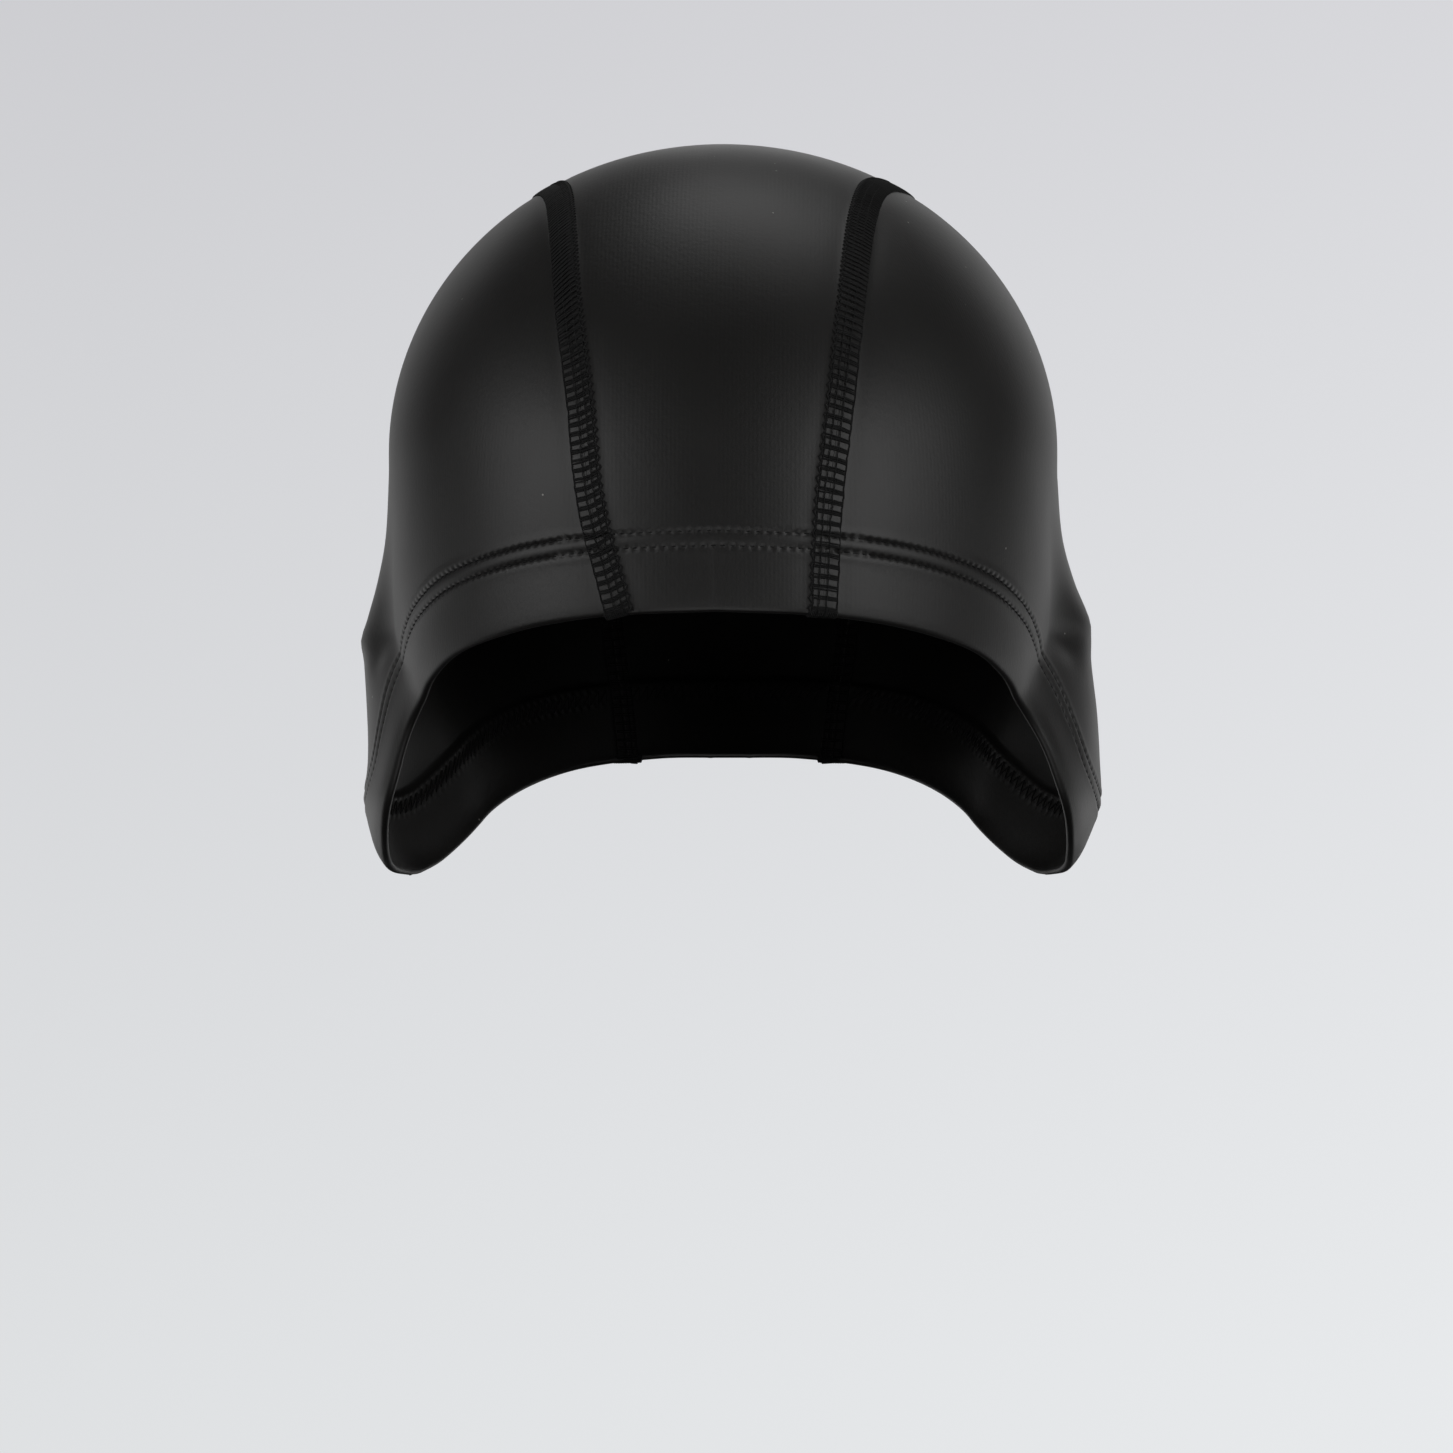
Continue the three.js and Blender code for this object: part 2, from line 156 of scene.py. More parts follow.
# The point inside the cap from which other points are laid onto its outer face
HUB = np.array([0, 0, CLOTH - SECTIONS[2, 0] * CAP_HEIGHT])


def onto_face(p):
    return cast(np.broadcast_to(HUB, p.shape), unit(p - HUB))


def normal_at(p):
    steps = 0.02 * np.eye(3)
    return unit(np.stack([outside(p + s) - outside(p - s) for s in steps], axis=-1))


def turn_of(p):
    return np.degrees(np.arctan2(p[..., 0], -p[..., 1]))


def rim_depth(turn):
    t = np.abs(turn)
    front = FOREHEAD_EDGE + (CAP_HEIGHT - FOREHEAD_EDGE) * smooth(RIM_FRONT, 1, t)
    back = NAPE_EDGE + (CAP_HEIGHT - NAPE_EDGE) * smooth(RIM_BACK, 1, t)
    return np.where(t < LOWEST_TURN, front, back)


def at_turn(turn, height):
    """Points of the outer face at a turn from the forehead, in degrees, and a height."""
    a = np.radians(turn)
    start = np.stack([0 * a, 0 * a, height], axis=-1)
    return cast(start, np.stack([np.sin(a), -np.cos(a), 0 * a], axis=-1))


def rim_point(turn):
    return at_turn(turn, CLOTH - rim_depth(turn))


BLOCK = 4000


def nearest_on(line, p):
    """Distance from each point to a line of points, and how far along the line that is."""
    flat = p.reshape(-1, 3)
    edges = np.diff(line, axis=0)
    lengths = np.linalg.norm(edges, axis=-1)
    runs = np.append(0, np.cumsum(lengths))
    gaps, alongs = [], []
    for block in np.array_split(flat, len(flat) // BLOCK + 1):
        closest = np.argmin((line ** 2).sum(axis=-1) - 2 * block @ line.T, axis=1)
        best, along = np.full(len(block), np.inf), np.zeros(len(block))
        for i in (np.maximum(closest - 1, 0), np.minimum(closest, len(edges) - 1)):
            t = ((block - line[i]) * edges[i]).sum(axis=-1) / lengths[i] ** 2
            t = np.clip(t, 0, 1)
            gap = np.linalg.norm(block - line[i] - t[:, None] * edges[i], axis=-1)
            along = np.where(gap < best, runs[i] + t * lengths[i], along)
            best = np.minimum(gap, best)
        gaps.append(best)
        alongs.append(along)
    shape = p.shape[:-1]
    return np.concatenate(gaps).reshape(shape), np.concatenate(alongs).reshape(shape)


def over_crown(x, way):
    """A share of the way over the crown, front rim to back rim, in the upright plane at x."""
    angle = np.interp(x, FAN, FRONT_ANGLES)
    angle = angle + (np.interp(x, FAN, BACK_ANGLES) - angle) * way
    start = np.stack([x, 0 * x, 0 * x + HUB[2]], axis=-1)
    return cast(start, np.stack([0 * x, -np.cos(angle), np.sin(angle)], axis=-1))


def rim_angle(x, low, high):
    """The angle at which the upright plane at x meets the rim, from above it to below it."""
    start = np.stack([x, 0 * x, 0 * x + HUB[2]], axis=-1)
    above, below = 0 * x + low, 0 * x + high
    for _ in range(HALVINGS):
        a = (above + below) / 2
        p = cast(start, np.stack([0 * x, -np.cos(a), np.sin(a)], axis=-1))
        past = CLOTH - p[..., 2] > rim_depth(turn_of(p))
        below = np.where(past, a, below)
        above = np.where(past, above, a)
    return (above + below) / 2


# Where upright planes from front to back meet the rim, by their distance from the middle. The
# rim as a line of points runs a little past its join at the back.
FAN = np.linspace(-42, 42, 85)
FRONT_ANGLES = rim_angle(FAN, 0, -math.pi / 3)
BACK_ANGLES = rim_angle(FAN, math.pi, math.pi * 4 / 3)
RIM_LINE = rim_point(np.linspace(-183, 183, 489))

# Seams: a flatlock joins each side panel to the centre panel, edge to edge, from the
# forehead to the nape. A share of the way over the crown, and the left and right seam's
# distance from the middle as a share of half the centre panel's breadth.
CENTRE_PANEL = 80.6
SEAMS = np.array([
    (0.000, 0.505, 0.568),
    (0.058, 0.658, 0.600),
    (0.113, 0.718, 0.660),
    (0.182, 0.797, 0.720),
    (0.264, 0.848, 0.774),
    (0.330, 0.888, 0.830),
    (0.370, 0.924, 0.882),
    (0.420, 0.976, 0.965),
    (0.500, 1.000, 1.000),
    (0.780, 0.843, 0.843),
    (1.000, 0.596, 0.596),
])
LEFT, RIGHT = -1, 1


def seam_x(side, way):
    return side * CENTRE_PANEL / 2 * smooth(SEAMS, 1 if side == LEFT else 2, way)


def seam_frame(side, way):
    """Points of a seam, the way along it to the nape, and across it, out to its own side."""
    step = 0.002
    p = over_crown(seam_x(side, way), way)
    after = over_crown(seam_x(side, way + step), way + step)
    before = over_crown(seam_x(side, way - step), way - step)
    along = unit(after - before)
    return p, along, unit(np.cross(normal_at(p), along)) * -side


SEAM_WAYS = np.linspace(0, 1, 601)
SEAM_LINES = {side: over_crown(seam_x(side, SEAM_WAYS), SEAM_WAYS) for side in (LEFT, RIGHT)}
SEAM_RUNS = {
    side: np.append(0, np.cumsum(np.linalg.norm(np.diff(line, axis=0), axis=-1)))
    for side, line in SEAM_LINES.items()
}

# Hem: each panel's edge is turned in once and held by twin-needle stitching, two sunk rows
# 3.2 mm apart. The folded edge is round and curls in a little where nothing holds it.
HEM_CLOTH, HEM_DEPTH = 1.9, 18.4
FIRST_ROW, ROW_GAUGE = 14.2, 3.2
STITCH_PITCH = 2.1
ROWS = (FIRST_ROW, FIRST_ROW + ROW_GAUGE)


def row_line(distance):
    """A line on the outer face at one distance from the rim, all round."""
    turns = np.linspace(-180, 180, 721)
    rises = np.linspace(0, 40, 41)
    heights = (CLOTH - rim_depth(turns))[:, None] + rises
    p = at_turn(np.repeat(turns[:, None], len(rises), axis=1), heights)
    gaps, _ = nearest_on(RIM_LINE, p)
    rise = np.array([np.interp(distance, gap, rises) for gap in gaps])
    return at_turn(turns, CLOTH - rim_depth(turns) + rise)


ROW_LINES = [row_line(distance) for distance in ROWS]

# How far the cloth sinks or swells, in millimetres. The edge curls in, more beside the face, and
# above the curl it rolls out a little there. Beside the face is between two turns in degrees.
CURL, CURL_BESIDE_FACE, CURL_REACH = 0.2, 0.25, 3.5
ROLL_BESIDE_FACE, ROLL_AT, ROLL_WIDTH = 0.15, 4.5, 3
TEMPLE, BEHIND_EAR = (38, 62), (150, 125)

# The stitched rows sink, less so over the middle of the forehead. Each lip beside them has a
# swell, a distance from the rim and a width. A crease runs down the middle of the front hem.
ROW_SINK, ROW_WIDTH, MIDDLE_LOSS = 0.36, 0.36, 0.55
LIPS = ((0.16, ROWS[1] + 1.1, 0.7), (0.1, ROWS[0] - 1.3, 0.8), (0.2, sum(ROWS) / 2, 0.8))
FRONT_FADE, MIDDLE_FADE = (10, -10), (24, 12)
CREASE, CREASE_X, CREASE_WIDTH, CREASE_FADE = 0.16, 0.4, 1.0, (19, 12)

# The cloth swells under a seam, with a trough beside it, and dips at the top of each ear, at
# the height given
SEAM_SWELL, SEAM_FADE = 0.12, (3.8, 2.6)
SEAM_TROUGH, TROUGH_AT, TROUGH_WIDTH = 0.05, 4.6, 1.2
DIMPLE, DIMPLE_Y, DIMPLE_LENGTH, DIMPLE_HEIGHT = 0.7, -15, 6, 4.5
DIMPLES = ((LEFT, -113.5), (RIGHT, -111.5))


def hump(x, middle, width):
    return np.exp(-((x - middle) / width) ** 2)


def ease(low, high, x):
    t = np.clip((x - low) / (high - low), 0, 1)
    return t * t * (3 - 2 * t)


def relief(p):
    """How far the outer and the inner face lie below the worn form's outer face."""
    rim, _ = nearest_on(RIM_LINE, p)
    seam = np.minimum(*(nearest_on(SEAM_LINES[side], p)[0] for side in (LEFT, RIGHT)))
    x, y, z = p[..., 0], p[..., 1], p[..., 2]
    front = ease(*FRONT_FADE, y)
    middle = front * ease(*MIDDLE_FADE, np.abs(x))
    round_edge = HEM_CLOTH / 2
    fold = round_edge - np.sqrt(round_edge ** 2 - np.maximum(round_edge - rim, 0) ** 2)
    turn = np.abs(turn_of(p))
    beside_face = ease(*TEMPLE, turn) * ease(*BEHIND_EAR, turn)
    curl = (CURL + CURL_BESIDE_FACE * beside_face) * np.clip(1 - rim / CURL_REACH, 0, 1) ** 2
    curl = curl - ROLL_BESIDE_FACE * beside_face * hump(rim, ROLL_AT, ROLL_WIDTH)
    rows = sum(ROW_SINK * hump(rim, row, ROW_WIDTH) for row in ROWS)
    lips = sum(swell * hump(rim, at, width) for swell, at, width in LIPS)
    sunk = curl + (rows - lips) * (1 - MIDDLE_LOSS * middle)
    sunk = sunk + CREASE * hump(x, CREASE_X, CREASE_WIDTH) * front * ease(*CREASE_FADE, rim)
    sunk = sunk - SEAM_SWELL * ease(*SEAM_FADE, seam)
    sunk = sunk + SEAM_TROUGH * hump(seam, TROUGH_AT, TROUGH_WIDTH)
    for side, dimple_z in DIMPLES:
        reach = ((y - DIMPLE_Y) / DIMPLE_LENGTH) ** 2 + ((z - dimple_z) / DIMPLE_HEIGHT) ** 2
        sunk = sunk + DIMPLE * np.exp(-reach) * (x * side > 0)
    wall = HEM_CLOTH + (CLOTH - HEM_CLOTH) * ease(HEM_DEPTH, HEM_DEPTH + 1, rim)
    return sunk + fold, curl + wall - fold


def colour(hex_code):
    """An sRGB hex colour as linear RGBA."""
    parts = [int(hex_code[i:i + 2], 16) / 255 for i in (1, 3, 5)]
    return [c / 12.92 if c <= 0.04045 else ((c + 0.055) / 1.055) ** 2.4 for c in parts] + [1]


def add_node(tree, kind, links=None, **settings):
    """Adds a node: its own settings, and for each input a value or another node's output."""
    node = tree.nodes.new(kind)
    for name, value in settings.items():
        setattr(node, name, value)
    for socket, source in (links or {}).items():
        if isinstance(source, bpy.types.NodeSocket):
            tree.links.new(source, node.inputs[socket])
        else:
            node.inputs[socket].default_value = source
    return node


def maths(tree, operation, *values):
    """The result of a sum on values or other nodes' outputs."""
    links = dict(enumerate(values))
    return add_node(tree, "ShaderNodeMath", links, operation=operation).outputs[0]


def ranged(tree, value, low, high, to_low, to_high, **settings):
    """A value's place between two limits, carried over to two others."""
    links = {0: value, 1: low, 2: high, 3: to_low, 4: to_high}
    return add_node(tree, "ShaderNodeMapRange", links, **settings).outputs[0]


def mixed(tree, share, first, second):
    """A colour between two, by a share."""
    return add_node(tree, "ShaderNodeMixRGB", {0: share, 1: first, 2: second}).outputs[0]


def attribute(tree, name):
    return add_node(tree, "ShaderNodeAttribute", attribute_name=name).outputs["Fac"]


def new_material(name):
    material = bpy.data.materials.new(name)
    material.use_nodes = True
    material.node_tree.nodes.clear()
    return material, material.node_tree


# Coated knit: polyester and elastane jersey with a matte black polyurethane film. The film
# gives a broad soft shine, and the knit's wales and grain show through it faintly. The wales
# are about 0.5 mm apart on the real cloth and are drawn at 0.9 mm, so that they still show.
WALE, RIB_SHARE = 0.9, 0.08
WEAR_RANGE, ROUGHNESS = (0.3, 0.7), (0.46, 0.5)

# In metres: the grain, the patches of wear, and the cells of which a few hold a speck of lint
GRAIN_SIZE, WEAR_SIZE, LINT_CELL = 0.0011, 0.03, 0.007
LINT_RADIUS_SHARE, LINT_LOT = 0.035, 0.7

# How far the puckers at each stitched row reach, towards the other row and away from it
PUCKER_BETWEEN, PUCKER_BEYOND = 0.9, 1.4


def coated_knit():
    material, tree = new_material("polyurethane_coated_knit")
    place = add_node(tree, "ShaderNodeTexCoord").outputs["Object"]
    wale, from_rim, row_run = (
        attribute(tree, name) for name in ("wale", "from_rim", "row_run")
    )
    ribs = maths(tree, "SINE", maths(tree, "MULTIPLY", wale, 2 * math.pi / WALE))
    grain = add_node(tree, "ShaderNodeTexNoise", {
        "Vector": place, "Scale": 1 / GRAIN_SIZE, "Detail": 3.0, "Roughness": 0.6,
    })
    wear = add_node(tree, "ShaderNodeTexNoise", {
        "Vector": place, "Scale": 1 / WEAR_SIZE, "Detail": 2.0, "Roughness": 0.5,
    })
    bumps = maths(tree, "MULTIPLY_ADD", ribs, RIB_SHARE, grain.outputs["Fac"])
    fine = add_node(tree, "ShaderNodeBump", {
        "Height": bumps, "Strength": 0.4, "Distance": 0.0001,
    })

    # At its holes the needle draws the cloth down, so each sunk row is a string of puckers
    swing = maths(tree, "MULTIPLY", row_run, 2 * math.pi / STITCH_PITCH)
    off = maths(tree, "ABSOLUTE", maths(tree, "SUBTRACT", from_rim, sum(ROWS) / 2))
    row = ROW_GAUGE / 2
    soft = {"interpolation_type": "SMOOTHSTEP"}
    band = maths(
        tree, "MULTIPLY",
        ranged(tree, off, row - PUCKER_BETWEEN, row, 0.0, 1.0, **soft),
        ranged(tree, off, row, row + PUCKER_BEYOND, 1.0, 0.0, **soft),
    )
    puckers = maths(tree, "MULTIPLY", maths(tree, "COSINE", swing), band)
    drawn = add_node(tree, "ShaderNodeBump", {
        "Height": puckers, "Strength": 0.6, "Distance": 0.00012, "Normal": fine.outputs[0],
    })

    # Lint: a pale speck about 0.5 mm across where the cloth passes through the middle of a cell
    cells = add_node(tree, "ShaderNodeTexVoronoi", {"Vector": place, "Scale": 1 / LINT_CELL})
    lot = add_node(tree, "ShaderNodeSeparateColor", {0: cells.outputs["Color"]}).outputs[0]
    speck = maths(
        tree, "MULTIPLY",
        maths(tree, "LESS_THAN", cells.outputs["Distance"], LINT_RADIUS_SHARE),
        maths(tree, "GREATER_THAN", lot, LINT_LOT),
    )
    tone = mixed(tree, wear.outputs["Fac"], colour("#141312"), colour("#1b1a19"))
    surface = add_node(tree, "ShaderNodeBsdfPrincipled", {
        "Base Color": mixed(tree, speck, tone, colour("#8c8b86")),
        "Roughness": ranged(tree, wear.outputs["Fac"], *WEAR_RANGE, *ROUGHNESS),
        "IOR": 1.5, "Sheen Weight": 0.04, "Sheen Roughness": 0.4, "Normal": drawn.outputs[0],
    })
    add_node(tree, "ShaderNodeOutputMaterial", {"Surface": surface.outputs[0]})
    return material


KNIT = coated_knit()
SAME_POINT, SHARP_EDGE = 1e-6, math.radians(50)


def make_panel(name, grid, wale):
    """A closed panel from a grid of points on the worn form's outer face, row by row."""
    rows, columns = grid.shape[:2]
    normal = normal_at(grid)
    outer_sunk, inner_sunk = relief(grid)
    faces_of = [grid - normal * sunk[..., None] for sunk in (outer_sunk, inner_sunk)]
    points = np.concatenate([f.reshape(-1, 3) for f in faces_of]) * MM
    index = np.arange(rows * columns).reshape(rows, columns)
    quads = np.stack([index[:-1, :-1], index[:-1, 1:], index[1:, 1:], index[1:, :-1]], axis=-1)
    outer = quads.reshape(-1, 4)
    inner = outer[:, ::-1] + rows * columns
    ring = np.concatenate([
        index[0, :-1], index[:-1, -1], index[-1, :0:-1], index[:0:-1, 0],
    ])
    after = np.roll(ring, -1)
    wall = np.stack([after, ring, ring + rows * columns, after + rows * columns], axis=-1)
    mesh = bpy.data.meshes.new(name)
    mesh.from_pydata(points.tolist(), [], np.concatenate([outer, inner, wall]).tolist())
    rim, _ = nearest_on(RIM_LINE, grid)
    near_rows = [nearest_on(line, grid) for line in ROW_LINES]
    row_run = np.where(near_rows[0][0] < near_rows[1][0], near_rows[0][1], near_rows[1][1])
    for label, values in (("from_rim", rim), ("row_run", row_run), ("wale", wale)):
        data = mesh.attributes.new(label, "FLOAT", "POINT").data
        data.foreach_set("value", np.tile(values.ravel(), 2).astype(np.float32))
    bm = bmesh.new()
    bm.from_mesh(mesh)
    bmesh.ops.remove_doubles(bm, verts=bm.verts, dist=SAME_POINT)
    bmesh.ops.recalc_face_normals(bm, faces=bm.faces)
    bm.to_mesh(mesh)
    bm.free()
    mesh.polygons.foreach_set("use_smooth", [True] * len(mesh.polygons))
    mesh.set_sharp_from_angle(angle=SHARP_EDGE)
    mesh.materials.append(KNIT)
    piece = bpy.data.objects.new(name, mesh)
    bpy.context.scene.collection.objects.link(piece)
    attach(piece, "root")
    return piece


# Centre panel: one strip of the cloth from the forehead over the crown to the nape, broadest
# at the crown. Rows of points run across it, close together over each hem.
HEM_STOPS = np.array([
    0, 0.06, 0.2, 0.4, 0.65, 0.95, 1.4, 2.0, 2.7, 3.5, 4.5, 6, 8, 10, 11.6, 12.4, 12.9, 13.3,
    13.7, 14.2, 14.7, 15.1, 15.8, 16.5, 16.9, 17.4, 17.9, 18.3, 18.8, 19.4, 20.2,
])
EDGE_STOPS = np.array([0.05, 0.4, 0.9, 1.5, 2.1, 2.6, 3.0, 3.4, 3.8, 4.4, 5.2, 6.4])
ROW_STEP = 1.6
CENTRE_COLUMNS = 42

middle_line = over_crown(0 * SEAM_WAYS, SEAM_WAYS)
middle_run = np.append(0, np.cumsum(np.linalg.norm(np.diff(middle_line, axis=0), axis=-1)))
panel_length = middle_run[-1]
plain_rows = int((panel_length - 2 * HEM_STOPS[-1]) / ROW_STEP)
stops = np.concatenate([
    HEM_STOPS,
    np.linspace(HEM_STOPS[-1], panel_length - HEM_STOPS[-1], plain_rows + 1)[1:-1],
    panel_length - HEM_STOPS[::-1],
])
ways = np.interp(stops, middle_run, SEAM_WAYS)
edges = []
for side in (LEFT, RIGHT):
    at = seam_x(side, ways)
    _, _, across = seam_frame(side, ways)
    per_mm = over_crown(at + 0.5, ways) - over_crown(at - 0.5, ways)
    lean = np.abs(np.sum(per_mm * across, axis=-1))
    edges.append(at[:, None] - side * EDGE_STOPS / lean[:, None])
share = np.linspace(0, 1, CENTRE_COLUMNS + 2)[1:-1]
between = edges[0][:, -1:] * (1 - share) + edges[1][:, -1:] * share
x = np.concatenate([edges[0], between, edges[1][:, ::-1]], axis=1)
grid = over_crown(x, np.repeat(ways[:, None], x.shape[1], axis=1))
centre = make_panel("centre_cloth", grid, grid[..., 0])
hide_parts("centre_panel")

# Side panels: one piece of the cloth over each ear, sewn to the centre panel along its upper
# edge. Lines of points run from the rim up to the seam, which meet in a corner at each end,
# and lie close together where they cross the hem's stitching there.
COLUMN_STEP, SIDE_ROWS = 1.3, 74

# The room kept between the points at the rim and those at the seam where the panel narrows,
# how far a degree round runs, which sets the wales apart, and shares of the way up to the seam
SHORTEST_ROOM, MM_PER_DEGREE = 2, 1.45
CLIMB = np.linspace(0, 1, 81) ** 1.6
HEM_RUNS = np.concatenate([
    np.arange(0, 12, 0.9), np.arange(12, 24, 0.4), np.arange(24, 30, 0.9),
])
for side, name in ((LEFT, "left"), (RIGHT, "right")):
    seam_run = SEAM_RUNS[side]
    count = int((seam_run[-1] - 2 * HEM_RUNS[-1]) / COLUMN_STEP)
    runs = np.concatenate([
        HEM_RUNS,
        np.linspace(HEM_RUNS[-1], seam_run[-1] - HEM_RUNS[-1], count + 1)[1:-1],
        seam_run[-1] - HEM_RUNS[::-1],
    ])
    ways = np.interp(runs, seam_run, SEAM_WAYS)
    p, _, across = seam_frame(side, ways)
    starts = turn_of(p[[0, -1]])
    foot = rim_point(starts[0] + (starts[1] - starts[0]) * runs / runs[-1])
    length = np.linalg.norm(foot - p, axis=-1)
    shrink = np.minimum(1, length / (HEM_STOPS[-1] + EDGE_STOPS[-1] + SHORTEST_ROOM))
    offs = (EDGE_STOPS[::-1] * shrink[:, None])[..., None]
    top = onto_face(p[:, None] + across[:, None] * offs)
    path = onto_face(foot[:, None] + (top[:, :1] - foot[:, None]) * CLIMB[None, :, None])
    gaps, _ = nearest_on(RIM_LINE, path)
    climbs = np.array([np.interp(HEM_STOPS * s, gap, CLIMB) for gap, s in zip(gaps, shrink)])
    share = np.linspace(0, 1, SIDE_ROWS + 2)[1:-1]
    between = climbs[:, -1:] + (1 - climbs[:, -1:]) * share
    climbs = np.concatenate([climbs, between], axis=1)[..., None]
    lower = onto_face(foot[:, None] + (top[:, :1] - foot[:, None]) * climbs)
    grid = np.concatenate([lower, top], axis=1)
    grid[0] = grid[0, -1]
    grid[-1] = grid[-1, -1]
    panel = make_panel(f"{name}_side_cloth", grid, turn_of(grid) * MM_PER_DEGREE)
    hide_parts(f"{name}_side_panel")

# Hem stitching: matte black textured polyester, two rows of straight stitches on the outside
# and a looper thread that crosses between them inside. Each stitch dips into its own holes.
# Both stop at the seams, whose threads cover the hem there.

BAND = 6.5
STITCH_LENGTH, STITCH_LIFT = 1.5, -0.2
ROW_UNDER_SEAM, LOOPER_CLEAR, LOOPER_LIFT = 0.3, 0.6, 0.12

# In metres
FIBRE_SIZE = 0.0003

# Each kind of thread: its radius, the height of its arch and of its ends, in millimetres, how
# unevenly it is laid, in radians, and its seed
THREADS = {
    "rows": (0.16, 0.14, -0.3, 0.06, 11),
    "looper": (0.15, 0.1, -0.1, 0.04, 12),
    "cover": (0.19, 0.05, -0.04, 0.03, 21),
    "needles": (0.12, 0.05, -0.05, 0.08, 22),
    "braid": (0.21, 0.12, -0.12, 0.12, 23),
    "wraps": (0.26, 1.5, 0, 0.05, 24),
    "inner_cover": (0.22, 0.02, 0, 0.05, 25),
    "inner_needles": (0.15, 0.06, -0.06, 0.1, 26),
}


def seam_thread():
    """Textured polyester: no shine, and a fuzz that keeps its edges soft."""
    material, tree = new_material("textured_polyester_thread")
    place = add_node(tree, "ShaderNodeTexCoord").outputs["Object"]
    fibres = add_node(tree, "ShaderNodeTexNoise", {
        "Vector": place, "Scale": 1 / FIBRE_SIZE, "Detail": 2.0, "Roughness": 0.6,
    })
    tone = mixed(tree, fibres.outputs["Fac"], colour("#101010"), colour("#1b1b1b"))
    bump = add_node(tree, "ShaderNodeBump", {
        "Height": fibres.outputs["Fac"], "Strength": 0.5, "Distance": 0.00005,
    })
    surface = add_node(tree, "ShaderNodeBsdfPrincipled", {
        "Base Color": tone, "Roughness": 0.8, "IOR": 1.45,
        "Specular IOR Level": 0.3, "Sheen Weight": 0.04, "Sheen Roughness": 0.5,
        "Normal": bump.outputs[0],
    })
    add_node(tree, "ShaderNodeOutputMaterial", {"Surface": surface.outputs[0]})
    return material


def stitch_tree():
    """One short arched thread for each point, from hole to hole."""
    tree = bpy.data.node_groups.new("stitches", "GeometryNodeTree")
    for name, kind in (
        ("Places", "NodeSocketGeometry"), ("Thread radius", "NodeSocketFloat"),
        ("Arch height", "NodeSocketFloat"), ("End height", "NodeSocketFloat"),
        ("Unevenness", "NodeSocketFloat"), ("Seed", "NodeSocketInt"),
        ("Thread", "NodeSocketMaterial"),
    ):
        tree.interface.new_socket(name=name, in_out="INPUT", socket_type=kind)
    tree.interface.new_socket(name="Stitches", in_out="OUTPUT", socket_type="NodeSocketGeometry")
    given = add_node(tree, "NodeGroupInput").outputs
    corners = [
        add_node(tree, "ShaderNodeCombineXYZ", {"X": x, "Z": given[height]}).outputs[0]
        for x, height in (
            (-0.5, "End height"), (-0.3, "Arch height"), (0.3, "Arch height"), (0.5, "End height"),
        )
    ]
    arch = add_node(tree, "GeometryNodeCurvePrimitiveBezierSegment", {
        "Resolution": 4, "Start": corners[0], "Start Handle": corners[1],
        "End Handle": corners[2], "End": corners[3],
    })
    ring = add_node(tree, "GeometryNodeCurvePrimitiveCircle", {
        "Resolution": 5, "Radius": given["Thread radius"],
    })
    stitch = add_node(tree, "GeometryNodeCurveToMesh", {
        "Curve": arch.outputs[0], "Profile Curve": ring.outputs[0], "Fill Caps": True,
    })
    run, out, span = (
        add_node(tree, "GeometryNodeInputNamedAttribute", {"Name": name}, data_type=kind).outputs[0]
        for name, kind in (("run", "FLOAT_VECTOR"), ("out", "FLOAT_VECTOR"), ("span", "FLOAT"))
    )
    laid = add_node(tree, "FunctionNodeAxesToRotation", {
        "Primary Axis": run, "Secondary Axis": out,
    }, primary_axis="X", secondary_axis="Z")
    swing = add_node(tree, "FunctionNodeRandomValue", {
        2: maths(tree, "MULTIPLY", given["Unevenness"], -1.0), 3: given["Unevenness"],
        "Seed": given["Seed"],
    }, data_type="FLOAT")
    twist = add_node(tree, "ShaderNodeCombineXYZ", {"Z": swing.outputs[1]})
    turned = add_node(tree, "FunctionNodeRotateRotation", {
        "Rotation": laid.outputs[0], "Rotate By": twist.outputs[0],
    }, rotation_space="LOCAL")
    size = add_node(tree, "ShaderNodeCombineXYZ", {"X": span, "Y": 1.0, "Z": 1.0})
    stitches = add_node(tree, "GeometryNodeInstanceOnPoints", {
        "Points": given["Places"], "Instance": stitch.outputs[0],
        "Rotation": turned.outputs[0], "Scale": size.outputs[0],
    })
    real = add_node(tree, "GeometryNodeRealizeInstances", {"Geometry": stitches.outputs[0]})
    rounded = add_node(tree, "GeometryNodeSetShadeSmooth", {"Geometry": real.outputs[0]})
    painted = add_node(tree, "GeometryNodeSetMaterial", {
        "Geometry": rounded.outputs[0], "Material": given["Thread"],
    })
    add_node(tree, "NodeGroupOutput", {0: painted.outputs[0]})
    return tree


THREAD = seam_thread()
STITCHES = stitch_tree()


def between_holes(a, b, out, lift):
    """Places for stitches from one hole to another, lifted off the cloth."""
    span = np.linalg.norm(b - a, axis=-1)
    return [(a + b) / 2 + out * lift, unit(b - a), out, span]


